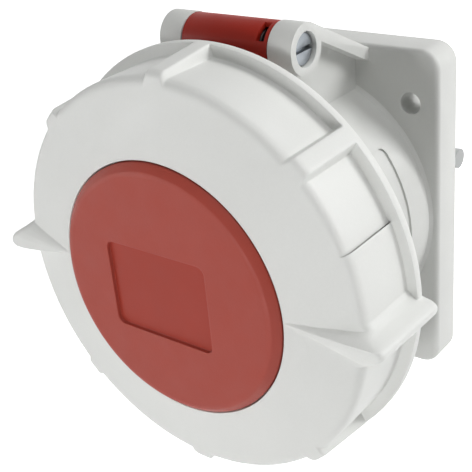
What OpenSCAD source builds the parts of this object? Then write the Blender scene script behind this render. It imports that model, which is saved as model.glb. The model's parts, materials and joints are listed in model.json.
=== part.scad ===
// Straight five-pole industrial panel socket with a hinged lid and a bayonet locking ring.
// The origin is the centre of the four panel screws, on the back face of the flange.
// +Z is up, and the socket faces -Y. Most parts are drawn in the socket's own axes, where
// x runs to the right, y runs up and z runs forward from the front face of the flange.

/* [Flange] */
// Width of the flange
flange_w = 75; // [72:0.5:90]
// Height of the flange
flange_h = 87; // [84:0.5:110]
// Thickness of the flange
flange_t = 9.2; // [8:0.1:12]
// Radius of the flange's corners in plan
flange_corner_r = 5; // [3:0.5:8]
// Rounding of the flange's front edges
flange_edge_r = 1.4; // [0.5:0.1:2.4]
// Width between the panel screws
bolt_pitch_x = 60; // [56:0.5:62]
// Height between the panel screws
bolt_pitch_z = 60; // [58:0.5:70]
// Diameter of the panel screw holes
bolt_d = 5.5; // [4:0.1:6.5]
// Height of the socket's axis above the centre of the screw pattern
axis_up = 0; // [0:0.1:3]
// Distance from the flange's edge to the gasket groove
gasket_inset = 2.2; // [1.6:0.1:3]
// Width of the panel gasket
gasket_w = 2.6; // [1.5:0.1:3]
// Depth of the gasket groove in the flange's back face
gasket_t = 2.2; // [1.2:0.1:3]

/* [Collar] */
// Outer radius of the plug collar
collar_r = 35.4; // [34.5:0.1:36]
// Wall of the plug collar
collar_wall = 2.8; // [2.2:0.1:3.2]
// Length of the collar in front of the flange
collar_len = 49; // [47:0.5:50]
// Thickness of the floor between the collar and the contact carrier
floor_t = 4.5; // [3.5:0.1:5.5]
// Width of the keyway in the collar, at six o'clock
keyway_w = 7; // [5:0.5:9]
// Depth of the keyway
keyway_depth = 1.4; // [1:0.1:1.8]
// Height of the bayonet ramps over the ring's lugs
ramp_grip = 4; // [3:0.1:5]
// Thickness of the bayonet ramps
ramp_t = 3; // [2:0.1:4]
// Sweep of each bayonet ramp, in degrees
ramp_sweep = 40; // [25:1:45]
// Angle from the wings to the start of a ramp, in degrees
ramp_start = 15; // [13:1:18]
// Height of the recessed label window on the collar
window_h = 39; // [20:1:44]
// Length of the label window along the collar
window_len = 16; // [8:0.5:20]
// Start of the label window in front of the flange
window_start = 9.6; // [6:0.2:14]
// Depth of the label window
window_depth = 0.5; // [0.3:0.1:1]

/* [Contacts] */
// Radius of the circle that the five contacts stand on
contact_circle_r = 15.5; // [15:0.1:16.5]
// Radius of a phase or neutral plug pin
pin_r = 3; // [2.5:0.1:3.2]
// Radius of the earth plug pin
earth_pin_r = 4; // [3.4:0.1:4.2]
// Radial clearance of a pin in its sleeve
pin_clear = 0.03; // [0.02:0.01:0.08]
// Wall of a contact sleeve
sleeve_wall = 1.3; // [1:0.1:1.5]
// Depth of a sleeve's bore
sleeve_depth = 38; // [30:1:42]
// Distance from the carrier's face to a sleeve's mouth
sleeve_recess = 4.5; // [3.5:0.1:6]
// Width of the slit that lets a sleeve spring
slit_w = 0.8; // [0.5:0.1:1.2]
// Outer radius of the contact carrier
carrier_r = 26; // [25.5:0.1:26.4]
// Distance from the collar's front edge to the carrier's face
carrier_recess = 4; // [3.5:0.5:8]
// Outer radius of the flanges that hold the two carriers
carrier_flange_r = 31; // [30.6:0.1:31.8]
// Thickness of each of those flanges
carrier_flange_t = 3; // [2.5:0.1:4]
// Outer radius of the terminal carrier
terminal_r = 22.6; // [22.4:0.1:24]
// Length of the terminal carrier behind its flange
terminal_len = 36; // [34:0.5:42]
// Radius of the round snap lugs at the sides of the terminal carrier
snap_lug_r = 2.8; // [2:0.1:3.5]
// Height of the snap lugs
snap_lug_rise = 3; // [0.8:0.1:3.4]
// Distance from the terminal carrier's back to the middle of the snap lugs
lug_inset = 4.6; // [4:0.1:10]
// Side of a terminal block
block_w = 9; // [8.6:0.1:9.6]
// Length of a terminal block
block_len = 22; // [20:0.5:24]
// Radius of the wire hole in a terminal block
wire_r = 3.1; // [2:0.1:3.3]
// Radius of a terminal screw's thread
clamp_screw_r = 2; // [1.5:0.1:2.4]
// Distance between the two screws of a terminal
clamp_pitch = 9; // [7:0.5:10]

/* [Lid] */
// Radius of the red front disc
disc_r = 31.85; // [30.5:0.05:33]
// Front disc's edge in front of the flange
disc_over = 11.1; // [10.6:0.1:12]
// Height of the disc's face above its edge
disc_rise = 1.8; // [1:0.1:2.4]
// Width of the disc's bevel
disc_bevel = 1.7; // [1:0.1:3]
// Width of the recess for a label in the front disc
label_w = 28.8; // [20:0.2:34]
// Height of the recess for a label in the front disc
label_h = 21.8; // [14:0.2:26]
// Distance of the label's middle to the left of the disc's middle
label_left = 0.9; // [0:0.1:2]
// Distance of the label's middle below the disc's middle
label_down = 0.5; // [0:0.1:2]
// Depth of the recess for a label
label_depth = 0.5; // [0.3:0.1:0.9]
// Overhang of the lid's sealing plate past the collar
plate_over = 1.4; // [1:0.1:2]
// Thickness of the sealing plate
plate_t = 2.5; // [2:0.1:3]
// Thickness of the sealing ring under the plate
seal_t = 2.5; // [2:0.1:3]
// Gap between the sealing ring and the collar at rest
seal_gap = 0.3; // [0.2:0.05:0.5]
// Radius of the hub that the bayonet ring turns on
hub_r = 28; // [26:0.1:28.4]
// Width of the gooseneck arm
arm_w = 20; // [14:0.5:21]
// Thickness of the gooseneck arm
arm_t = 5; // [4:0.1:5.2]
// Gap between the sealing plate's edge and the arm's inside
arm_gap = 1.8; // [1.4:0.1:2.4]

/* [Bayonet ring] */
// Room between the arm and the inside of the ring's skirt
skirt_gap = 2.1; // [1.9:0.1:3]
// Wall of the ring's skirt
skirt_wall = 3.5; // [2.5:0.1:4]
// Height of the rear rim and of the ribs above the recessed panels
rim_rise = 3.6; // [2.5:0.1:4.5]
// Width of the rear rim along the axis
rim_w = 2.7; // [2:0.1:4]
// Rear edge of the ring in front of the flange
rim_u = 36.9; // [36:0.1:38]
// Number of grip ribs and wings round the ring
rib_count = 8; // [8]
// Width of a grip rib
rib_w = 4.3; // [3:0.1:6]
// Rise of the ring's front cone for each millimetre of radius
cone_slope = 0.3; // [0.2:0.01:0.34]
// Radius of the rounding on the ring's front edge
front_edge_r = 1.4; // [0.5:0.1:2]
// Reach of the wings' tips past the ribs
wing_reach = 3.7; // [2:0.1:7]
// Radius of the rounding along a wing's ridge
wing_ridge_r = 1.3; // [0.8:0.1:2]
// Gap between the collar and the ring's bayonet lugs
lug_gap = 1.8; // [1:0.1:3]
// Thickness of the bayonet lugs
lug_t = 3; // [2:0.1:3.6]
// Sweep of each bayonet lug, in degrees
lug_sweep = 14; // [8:1:18]

/* [Hinge] */
// Distance of the hinge axis in front of the flange
hinge_u = 26.3; // [25.5:0.1:27.5]
// Height of the hinge axis above the arm's outside
hinge_rise = 6; // [5.4:0.1:7.4]
// Outer radius of the hinge ears
ear_r = 6; // [5.4:0.1:6.4]
// Distance between the inner faces of the ears
ear_gap = 25; // [24:0.5:27]
// Width of each ear
ear_w = 6.4; // [5:0.1:8]
// Radius of the lid's hinge barrel
barrel_r = 5.8; // [5.4:0.1:6]
// Radius of the hinge pin's shank
pin_shank_r = 2.5; // [2:0.05:2.6]
// Radius of the hinge pin's head
pin_head_r = 3.95; // [3.4:0.05:4.3]
// Length of the hinge pin's head
pin_head_len = 3.6; // [2.5:0.1:4.5]
// Depth of the pin's head below the ear's face
pin_sunk = 0.8; // [0.3:0.1:1.5]
// Thickness of the hinge block's side walls
block_wall = 2.5; // [2:0.1:3.5]
// Thickness of the hinge block's sloping roof
roof_t = 3; // [2:0.1:4]
// Slope of the roof, in degrees
roof_slope = 27.4; // [24:0.2:30]
// Radius of the spring's wire
spring_wire_r = 0.6; // [0.4:0.05:0.7]
// Number of turns in the hinge spring
spring_turns = 4.5; // [3.5:1:5.5]

/* [Fits] */
// Radial clearance of the hinge pin in the lid's barrel
pin_fit = 0.06; // [0.02:0.01:0.1]
// Radial clearance of the ring on the lid's hub
hub_fit = 0.08; // [0.03:0.01:0.1]
// Gap between faces of different moving pieces
run_gap = 0.3; // [0.2:0.05:0.5]
// Clearance of pieces that are assembled into one another
seat_gap = 0.1; // [0.05:0.05:0.3]

/* [Hidden] */
$fn = 96;
eps = 0.01;

// Colours
grey = [0.80, 0.81, 0.79];
insert_grey = [0.62, 0.63, 0.62];
red = [0.62, 0.20, 0.16];
rubber = [0.16, 0.16, 0.17];
brass = [0.80, 0.66, 0.34];
steel = [0.62, 0.64, 0.66];

// Stations along the socket's axis, in front of the flange
carrier_face_u = collar_len - carrier_recess;
seal_u = collar_len + seal_gap;
plate_u = seal_u + seal_t;
hub_u = plate_u + plate_t;
disc_edge_u = collar_len + disc_over;
disc_back_u = disc_edge_u - disc_rise;
ring_wall_back_u = hub_u + run_gap;
ring_wall_front_u = disc_back_u - run_gap;
shoulder_u = ring_wall_back_u - 1.6;
lug_u = rim_u + 1;
ramp_u = lug_u + lug_t + run_gap;
terminal_front_u = -floor_t;
terminal_back_u = terminal_front_u - carrier_flange_t - terminal_len;

// Radii and angles
bore_r = collar_r - collar_wall;
floor_r = carrier_r + run_gap;
disc_seat_r = disc_r + run_gap;
flange_hole_r = carrier_flange_r + seat_gap;
contact_step = 72;
earth_angle = -90;
block_front_u = terminal_front_u - carrier_flange_t - 1.5;
clamp_u = block_front_u - 6;
fix_screw_r = 1.5;
fix_screw_circle = floor_r + fix_screw_r + 0.8;
mid_screw_r = 2;
mid_head_r = 3.5;
mid_seat_u = 6;
mid_grip = 6;
block_room = block_w + 2 * seat_gap;
fix_screw_angles = [0, 180];
disc_screw_r = 1.5;
disc_screw_circle = 0.75 * hub_r;
screw_sink = 0.8;
hollow_in_r = 6;
hollow_out_r = disc_screw_circle - 5;
hollow_deep = plate_t + 0.9;
leg_hole_len = 3;
groove_back = sleeve_depth / 4 - 0.5;
groove_in = 0.4 * sleeve_wall;
groove_w = 1.85 * sleeve_wall;
disc_screw_angles = [45, 135, 225, 315];
ear_in_x = ear_gap / 2;
ear_out_x = ear_in_x + ear_w;
barrel_len = ear_gap - 2 * run_gap;
spring_coil_r = pin_shank_r + spring_wire_r + 0.5;
spring_pocket_r = spring_coil_r + spring_wire_r + 0.4;
spring_pitch = 2 * spring_wire_r + 0.15;
spring_len = spring_turns * spring_pitch;
spring_x = barrel_len / 2 - spring_wire_r - 0.1 - spring_len;
pocket_x = spring_x - spring_wire_r - 0.3;
plate_r = collar_r + plate_over;
arm_up = plate_r + arm_gap;
skirt_r = arm_up + arm_t + skirt_gap;
panel_r = skirt_r + skirt_wall;
rim_r = panel_r + rim_rise;
wing_tip_r = rim_r + wing_reach;
lug_r = collar_r + lug_gap;
ramp_r = lug_r + ramp_grip;
hinge_up = arm_up + arm_t + hinge_rise;
cone_top_u = disc_edge_u - 0.1;
cone_top_r = disc_seat_r;
tangent = [
    hinge_u - ear_r * sin(roof_slope),
    hinge_up + ear_r * cos(roof_slope)
];

// Height of the ring's front cone at a radius
function cone_u(r) = cone_top_u - cone_slope * (r - cone_top_r);

// Points of an arc, for an outline
function arc(cx, cy, r, a0, a1, n) =
    [for (i = [0:n]) let (a = a0 + (a1 - a0) * i / n) [cx + r * cos(a), cy + r * sin(a)]];

// Points of a helix of so many turns, n for each turn
function helix(turns, r, pitch, n) =
    [for (i = [0:turns * n]) let (a = 360 * i / n) [r * cos(a), r * sin(a), pitch * i / n]];

// Moves children from the socket's own axes into the part's axes
module socket_axes() {
    translate([0, -flange_t, axis_up]) rotate([90, 0, 0]) children();
}

// Puts children at a contact's place, with x pointing outward
module at_contact(k) {
    rotate([0, 0, earth_angle - contact_step * k])
        translate([contact_circle_r, 0, 0]) children();
}

// Cylinder along the hinge axis, from x0 to x1
module hinge_cylinder(x0, x1, r) {
    translate([x0, hinge_up, hinge_u]) rotate([0, 90, 0]) cylinder(h = x1 - x0, r = r);
}

// Extrudes an outline drawn as [forward, up] across the width from x0 to x1
module across(x0, x1) {
    translate([x0, 0, 0]) rotate([0, 90, 0]) rotate([0, 0, 90])
        linear_extrude(x1 - x0) mirror([1, 0]) rotate([0, 0, 90]) children();
}

// Plate with rounded corners and a rounded front edge, built up from its own sections
module rounded_plate(w, h, t, corner, edge) {
    module section(half) {
        translate([-half, 0]) square([2 * half, t - edge]);
        translate([-half + edge, 0]) square([2 * half - 2 * edge, t]);
        for (s = [-1, 1]) translate([s * (half - edge), t - edge]) circle(edge, $fn = 32);
    }
    translate([0, h / 2 - corner, 0]) rotate([90, 0, 0]) linear_extrude(h - 2 * corner) section(w / 2);
    translate([-w / 2 + corner, 0, 0]) rotate([90, 0, 90]) linear_extrude(w - 2 * corner) section(h / 2);
    for (sx = [-1, 1], sy = [-1, 1])
        translate([sx * (w / 2 - corner), sy * (h / 2 - corner), 0])
            rotate_extrude($fn = 64) intersection() {
                section(corner);
                square([corner, t]);
            }
}

// Rectangle with rounded corners, standing on z = 0
module rounded_block(w, h, t, corner) {
    translate([-w / 2 + corner, -h / 2, 0]) cube([w - 2 * corner, h, t]);
    translate([-w / 2, -h / 2 + corner, 0]) cube([w, h - 2 * corner, t]);
    for (sx = [-1, 1], sy = [-1, 1])
        translate([sx * (w / 2 - corner), sy * (h / 2 - corner), 0]) cylinder(h = t, r = corner, $fn = 48);
}

// Ring of rectangular section between two radii
module tube(r_out, r_in, u0, u1) {
    translate([0, 0, u0]) difference() {
        cylinder(h = u1 - u0, r = r_out);
        translate([0, 0, -1]) cylinder(h = u1 - u0 + 2, r = r_in);
    }
}

// Part of a ring, swept from angle a0 to a1
module ring_sector(r_in, r_out, u0, u1, a0, a1) {
    translate([0, 0, u0]) rotate([0, 0, a0])
        rotate_extrude(angle = a1 - a0) translate([r_in, 0]) square([r_out - r_in, u1 - u0]);
}

// Height of the hinge block's roof above the socket's axis, at a place u
function roof_up(u) = tangent[1] - (tangent[0] - u) * tan(roof_slope);

// Everything below the roof's underside, between two places along the axis
module under_roof(u0, u1, low) {
    drop = roof_t / cos(roof_slope);
    polygon([[u0, low], [u1, low], [u1, roof_up(u1) - drop], [u0, roof_up(u0) - drop]]);
}

// Sides, roof and ears that carry the hinge
module hinge_block() {
    // the roof stops behind the barrel, and goes on at the ears
    roof_front_u = hinge_u - barrel_r - 0.8;
    low = bore_r - 2;
    wall_out_x = ear_in_x + block_wall;
    difference() {
        across(-ear_out_x, ear_out_x) polygon([
            [-1, low],
            [hinge_u - 3, low],
            [hinge_u + 1.5, hinge_up - ear_r + 0.6],
            [hinge_u, hinge_up],
            tangent,
            [-1, roof_up(-1)]
        ]);
        // gap for the barrel, and the hollow behind it
        across(-ear_in_x, ear_in_x) translate([roof_front_u, low - 1])
            square([2 * ear_r + 2, 4 * ear_r + 2 * roof_t]);
        across(-ear_in_x, ear_in_x) under_roof(-2, roof_front_u + 1, low - 1);
        // the side walls are set back under the roof's edges
        for (s = [0, 1]) mirror([s, 0, 0])
            across(wall_out_x, ear_out_x + 1) under_roof(-2, hinge_u + 3, low - 1);
    }
    for (s = [0, 1]) mirror([s, 0, 0]) hinge_cylinder(ear_in_x, ear_out_x, ear_r);
}

module housing() {
    color(grey) socket_axes() difference() {
        union() {
            translate([0, -axis_up, -flange_t])
                rounded_plate(flange_w, flange_h, flange_t, flange_corner_r, flange_edge_r);
            translate([0, 0, -flange_t]) cylinder(h = flange_t + collar_len, r = collar_r);
            // small fillet where the collar leaves the flange
            cylinder(h = 0.8, r1 = collar_r + 0.8, r2 = collar_r);
            hinge_block();
            // two bayonet ramps, clear of the arm
            for (a = [0, 180]) rotate([0, 0, a])
                ring_sector(collar_r - 1, ramp_r, ramp_u, ramp_u + ramp_t,
                    -ramp_start - ramp_sweep, -ramp_start);
        }
        // plug space inside the collar
        cylinder(h = collar_len + 1, r = bore_r);
        // hole for the contact insert
        translate([0, 0, -flange_t - 1]) cylinder(h = flange_t + 2, r = floor_r);
        // room for the carrier flanges
        translate([0, 0, -flange_t - 1]) cylinder(h = flange_t + 1 - floor_t, r = flange_hole_r);
        // keyway
        translate([-keyway_w / 2, -bore_r - keyway_depth, 0])
            cube([keyway_w, 2 * keyway_depth + 2, collar_len + 1]);
        // panel screw holes
        for (sx = [-1, 1], sy = [-1, 1])
            translate([sx * bolt_pitch_x / 2, sy * bolt_pitch_z / 2 - axis_up, -flange_t - 1])
                cylinder(h = flange_t + 2, d = bolt_d, $fn = 64);
        // gasket groove in the back face
        translate([0, -axis_up, -flange_t - 1]) difference() {
            rounded_block(flange_w - 2 * gasket_inset, flange_h - 2 * gasket_inset,
                gasket_t + 1, flange_corner_r - 1);
            translate([0, 0, -1]) rounded_block(flange_w - 2 * gasket_inset - 2 * gasket_w,
                flange_h - 2 * gasket_inset - 2 * gasket_w, gasket_t + 3, 2);
        }
        // recessed label window on the right of the collar
        intersection() {
            tube(collar_r + 1, collar_r - window_depth, window_start, window_start + window_len);
            translate([collar_r, 2.5, window_start + window_len / 2]) rotate([0, 90, 0])
                translate([0, 0, -collar_r / 2]) rounded_block(window_len, window_h, collar_r, 1.6);
        }
        // hinge pin: a through bore with a seat for the head, and a blind end
        hinge_cylinder(-ear_out_x + 1.4, ear_out_x + 1, pin_shank_r + pin_fit);
        hinge_cylinder(ear_out_x - pin_sunk - pin_head_len - seat_gap, ear_out_x + 1, pin_head_r + seat_gap);
        // hole for the spring's fixed leg
        translate([ear_in_x - 1, hinge_up, hinge_u]) rotate([0, 90, 0]) rotate([0, 0, 360 * spring_turns])
            translate([spring_coil_r, 0, 0]) cylinder(h = 3.2, r = spring_wire_r + 0.15, $fn = 24);
        // fixing screws of the carriers
        for (a = fix_screw_angles) rotate([0, 0, a])
            translate([fix_screw_circle, 0, -flange_t - 1])
                cylinder(h = flange_t + 1 - 1.2, r = fix_screw_r, $fn = 32);
    }
}

module flange_gasket() {
    color(rubber) socket_axes() translate([0, -axis_up, -flange_t]) difference() {
        rounded_block(flange_w - 2 * gasket_inset - 2 * seat_gap,
            flange_h - 2 * gasket_inset - 2 * seat_gap, gasket_t, flange_corner_r - 1);
        translate([0, 0, -1]) rounded_block(flange_w - 2 * gasket_inset - 2 * gasket_w + 2 * seat_gap,
            flange_h - 2 * gasket_inset - 2 * gasket_w + 2 * seat_gap, gasket_t + 2, 2);
    }
}

// Radius of the pin that contact k takes: k = 0 is the earth
function contact_pin(k) = k == 0 ? earth_pin_r : pin_r;
function sleeve_out(k) = contact_pin(k) + pin_clear + sleeve_wall;
// The earth sleeve stands forward, so that it makes contact first
function sleeve_front(k) = carrier_face_u - sleeve_recess + (k == 0 ? 2 : 0);

module contact_insert() {
    color(insert_grey) socket_axes() difference() {
        translate([0, 0, terminal_front_u]) cylinder(h = carrier_face_u - terminal_front_u, r = carrier_r);
        // pockets for the sleeves, open at the back, with a smaller mouth in front
        for (k = [0:4]) at_contact(k) {
            translate([0, 0, terminal_front_u - 1])
                cylinder(h = sleeve_front(k) + seat_gap - terminal_front_u + 1, r = sleeve_out(k) + 0.5,
                    $fn = 48);
            cylinder(h = carrier_face_u + 1, r = contact_pin(k) + 0.4, $fn = 48);
            translate([0, 0, carrier_face_u - 1])
                cylinder(h = 1 + eps, r1 = contact_pin(k) + 0.4, r2 = contact_pin(k) + 1.4, $fn = 48);
        }
        // groove for the seal inside the floor's hole
        tube(carrier_r + 1, carrier_r - 1.5, -3.6, -1.6);
        // flat that keys the insert against the keyway
        translate([-keyway_w / 2, -carrier_r - 1, 1]) cube([keyway_w, 1.8, carrier_face_u]);
        // sunk hole for the middle screw
        translate([0, 0, terminal_front_u - 1])
            cylinder(h = carrier_face_u, r = mid_screw_r + seat_gap, $fn = 48);
        translate([0, 0, mid_seat_u]) cylinder(h = carrier_face_u, r = mid_head_r + 0.5, $fn = 48);
    }
}

module insert_seal() {
    seal_wire = 0.85;
    color(rubber) socket_axes() translate([0, 0, -2.6])
        rotate_extrude() translate([floor_r - seat_gap / 2 - seal_wire, 0]) circle(seal_wire, $fn = 24);
}

module terminal_carrier() {
    flange_back_u = terminal_front_u - carrier_flange_t;
    color(grey) socket_axes() difference() {
        union() {
            translate([0, 0, terminal_back_u])
                cylinder(h = terminal_front_u - terminal_back_u, r = terminal_r);
            translate([0, 0, flange_back_u]) cylinder(h = carrier_flange_t, r = carrier_flange_r);
            // half-round snap lugs at the sides, for a rear cover
            for (s = [0, 1]) mirror([s, 0, 0])
                translate([terminal_r - 1, 0, terminal_back_u + lug_inset]) rotate([0, 90, 0])
                    cylinder(h = 1 + snap_lug_rise, r = snap_lug_r, $fn = 48);
        }
        for (k = [0:4]) at_contact(k) {
            // way through for the sleeve
            translate([0, 0, terminal_front_u - carrier_flange_t - 2])
                cylinder(h = carrier_flange_t + 3, r = sleeve_out(k) + seat_gap, $fn = 48);
            // chamber for the terminal block, open at the back
            translate([-block_room / 2, -block_room / 2, terminal_back_u - 1])
                cube([block_room, block_room, block_front_u + seat_gap - terminal_back_u + 1]);
            // screwdriver ways
            for (i = [0, 1]) translate([0, 0, clamp_u - i * clamp_pitch]) rotate([0, 90, 0])
                cylinder(h = terminal_r, r = clamp_screw_r + 1.6, $fn = 32);
        }
        // hollow middle of the moulding, and the tapped hole for the middle screw
        translate([0, 0, terminal_back_u - 1]) cylinder(h = terminal_len - 3, r = 6.5);
        translate([0, 0, terminal_back_u + 1]) cylinder(h = terminal_len + 5, r = mid_screw_r, $fn = 48);
        for (a = fix_screw_angles) rotate([0, 0, a])
            translate([fix_screw_circle, 0, flange_back_u - 1])
                cylinder(h = carrier_flange_t + 2, r = fix_screw_r + seat_gap, $fn = 32);
    }
}

// One contact: a slit sleeve for the pin, turned and milled in one piece with its terminal
module contact(k) {
    front = sleeve_front(k);
    r_out = sleeve_out(k);
    color(brass) socket_axes() at_contact(k) difference() {
        union() {
            translate([0, 0, block_front_u - 0.1])
                cylinder(h = front - block_front_u + 0.1, r = r_out, $fn = 64);
            translate([-block_w / 2, -block_w / 2, block_front_u - block_len])
                cube([block_w, block_w, block_len]);
        }
        translate([0, 0, front - sleeve_depth])
            cylinder(h = sleeve_depth + 1, r = contact_pin(k) + pin_clear, $fn = 64);
        // chamfered mouth
        translate([0, 0, front - 0.6])
            cylinder(h = 0.7, r1 = contact_pin(k) + pin_clear, r2 = contact_pin(k) + 0.7, $fn = 64);
        // slit across the sleeve's front half
        translate([-slit_w / 2, -r_out - 1, front - sleeve_depth / 2])
            cube([slit_w, 2 * r_out + 2, sleeve_depth / 2 + 1]);
        // groove for the spring ring
        translate([0, 0, front - groove_back]) difference() {
            cylinder(h = groove_w, r = r_out + 1, $fn = 64);
            translate([0, 0, -1]) cylinder(h = groove_w + 2, r = r_out - groove_in, $fn = 64);
        }
        // wire hole from the back
        translate([0, 0, block_front_u - block_len - 1]) cylinder(h = block_len - 3, r = wire_r, $fn = 48);
        // tapped holes for the clamp screws
        for (i = [0, 1]) translate([0, 0, clamp_u - i * clamp_pitch]) rotate([0, 90, 0])
            cylinder(h = block_w, r = clamp_screw_r, $fn = 32);
    }
}

module contact_l1() { contact(1); }
module contact_l2() { contact(2); }
module contact_l3() { contact(3); }
module contact_neutral() { contact(4); }
module contact_earth() { contact(0); }

// Open spring rings that close the slit sleeves
module sleeve_springs() {
    color(steel) socket_axes() for (k = [0:4]) at_contact(k)
        translate([0, 0, sleeve_front(k) - groove_back + 0.2]) rotate([0, 0, 20])
            rotate_extrude(angle = 320) translate([sleeve_out(k) - groove_in, 0])
                square([groove_in + 0.3, groove_w - 0.4]);
}

module terminal_screws() {
    head_r = 1.6 * clamp_screw_r;
    head_len = 1.2 * clamp_screw_r;
    tip = wire_r + 0.1;
    color(steel) socket_axes() for (k = [0:4]) at_contact(k)
        for (i = [0, 1]) translate([0, 0, clamp_u - i * clamp_pitch]) rotate([0, 90, 0]) difference() {
            union() {
                translate([0, 0, tip]) cylinder(h = block_w / 2 + 0.2 - tip, r = clamp_screw_r, $fn = 32);
                translate([0, 0, block_w / 2]) cylinder(h = head_len, r = head_r, $fn = 32);
            }
            translate([-0.4, -head_r - 1, block_w / 2 + head_len - 0.9]) cube([0.8, 2 * head_r + 2, 2]);
        }
}

module carrier_screws() {
    head_u = terminal_front_u - carrier_flange_t;
    color(steel) socket_axes() for (a = fix_screw_angles) rotate([0, 0, a])
        translate([fix_screw_circle, 0, 0]) difference() {
            union() {
                translate([0, 0, head_u - 0.5]) cylinder(h = -1.5 - head_u, r = fix_screw_r, $fn = 32);
                translate([0, 0, head_u - 2]) cylinder(h = 2, r = 1.6 * fix_screw_r, $fn = 32);
            }
            translate([-0.4, -4, head_u - 2.5]) cube([0.8, 8, 1.4]);
        }
}

// Screw through the middle of the insert, which draws both carriers together
module middle_screw() {
    color(steel) socket_axes() difference() {
        union() {
            translate([0, 0, terminal_front_u - mid_grip])
                cylinder(h = mid_seat_u + 0.5 - terminal_front_u + mid_grip, r = mid_screw_r, $fn = 48);
            translate([0, 0, mid_seat_u]) cylinder(h = 2.6, r = mid_head_r, $fn = 48);
        }
        translate([-0.5, -mid_head_r - 1, mid_seat_u + 1.4]) cube([1, 2 * mid_head_r + 2, 2]);
    }
}

// Gooseneck arm in profile, drawn as [forward, up]
module arm_outline() {
    outer_up = arm_up + arm_t;
    front_u = shoulder_u - run_gap;
    polygon([
        [front_u, plate_r - 6],
        [front_u, outer_up - 1.2],
        [front_u - 1.2, outer_up],
        [rim_u + 0.6, outer_up],
        [hinge_u + barrel_r, hinge_up],
        [hinge_u, hinge_up],
        [hinge_u - barrel_r * 0.7, hinge_up - barrel_r * 0.7],
        [hinge_u + 4, arm_up + 0.6],
        [hinge_u + 9, arm_up],
        [plate_u - 3.5, arm_up],
        [plate_u, plate_r + 0.4],
        [plate_u, plate_r - 6]
    ]);
}

module lid() {
    color(red) socket_axes() difference() {
        union() {
            translate([0, 0, plate_u]) cylinder(h = plate_t, r = plate_r);
            translate([0, 0, hub_u - eps]) cylinder(h = disc_back_u - hub_u + eps, r = hub_r);
            // boss that centres the sealing ring
            translate([0, 0, plate_u - 1.4]) cylinder(h = 1.4 + eps, r = bore_r - 1.1);
            across(-arm_w / 2, arm_w / 2) arm_outline();
            hinge_cylinder(-barrel_len / 2, barrel_len / 2, barrel_r);
        }
        // hollow inside of the hub, with a rib cross left standing
        for (a = [0:90:270]) rotate([0, 0, a])
            translate([0, 0, seal_u])
                ring_sector(hollow_in_r, hollow_out_r, 0, seal_t + hollow_deep, 8, 82);
        hinge_cylinder(-barrel_len, barrel_len, pin_shank_r + pin_fit);
        // pocket for the torsion spring
        hinge_cylinder(pocket_x, barrel_len, spring_pocket_r);
        // hole for the spring's moving leg, in the bottom of its pocket
        translate([pocket_x - leg_hole_len + 0.6, hinge_up, hinge_u]) rotate([0, 90, 0])
            translate([spring_coil_r, 0, 0]) cylinder(h = leg_hole_len, r = spring_wire_r + 0.15, $fn = 24);
        // window in the barrel, through which the spring is hooked in
        translate([barrel_len / 2 - 3, hinge_up, hinge_u]) rotate([0, 90, 0])
            ring_sector(spring_pocket_r - 1, barrel_r + 1, 0, 2.1, 103, 155);
        for (a = disc_screw_angles) rotate([0, 0, a]) translate([disc_screw_circle, 0, 0]) {
            translate([0, 0, seal_u - 1])
                cylinder(h = disc_back_u - seal_u + 2, r = disc_screw_r + seat_gap, $fn = 32);
            translate([0, 0, seal_u - 1])
                cylinder(h = seal_t + 1 + screw_sink, r = 2 * disc_screw_r + 0.2, $fn = 32);
        }
    }
}

module lid_seal() {
    color(rubber) socket_axes() tube(plate_r - 0.5, bore_r - 1, seal_u, plate_u);
}

module front_disc() {
    top_u = disc_edge_u + disc_rise;
    color(red) socket_axes() difference() {
        rotate_extrude() polygon(concat(
            [[0, disc_back_u], [disc_r, disc_back_u], [disc_r, disc_edge_u]],
            [[disc_r - disc_bevel, top_u - 0.25], [disc_r - disc_bevel - 1, top_u], [0, top_u]]
        ));
        translate([-label_left, -label_down, top_u - label_depth])
            rounded_block(label_w, label_h, label_depth + 1, 1.6);
        for (a = disc_screw_angles) rotate([0, 0, a])
            translate([disc_screw_circle, 0, disc_back_u - 1]) cylinder(h = 3.4, r = disc_screw_r, $fn = 32);
    }
}

module disc_screws() {
    head_u = plate_u + 0.8;
    color(steel) socket_axes() for (a = disc_screw_angles) rotate([0, 0, a])
        translate([disc_screw_circle, 0, 0]) difference() {
            union() {
                translate([0, 0, head_u - 0.1])
                    cylinder(h = disc_back_u + 2 - head_u, r = disc_screw_r, $fn = 32);
                translate([0, 0, head_u - 1.8]) cylinder(h = 1.8, r = 2 * disc_screw_r, $fn = 32);
            }
            translate([-2, -0.4, head_u - 2.3]) cube([4, 0.8, 1.4]);
            translate([-0.4, -2, head_u - 2.3]) cube([0.8, 4, 1.4]);
        }
}

// Outline of the ring in section, out to a radius, drawn as [radius, forward]
module ring_outline(r_rear, r_front) {
    edge_u = cone_u(r_front) - front_edge_r;
    polygon(concat(
        [[hub_r + hub_fit, ring_wall_back_u], [hub_r + hub_fit, ring_wall_front_u]],
        [[disc_seat_r, ring_wall_front_u], [disc_seat_r, cone_top_u]],
        [for (p = arc(r_front - front_edge_r, edge_u, front_edge_r, 74, 0, 5)) p],
        [[r_rear, rim_u], [skirt_r, rim_u], [skirt_r, shoulder_u]],
        [[plate_r + 0.6, shoulder_u], [plate_r + 0.6, ring_wall_back_u]]
    ));
}

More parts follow.
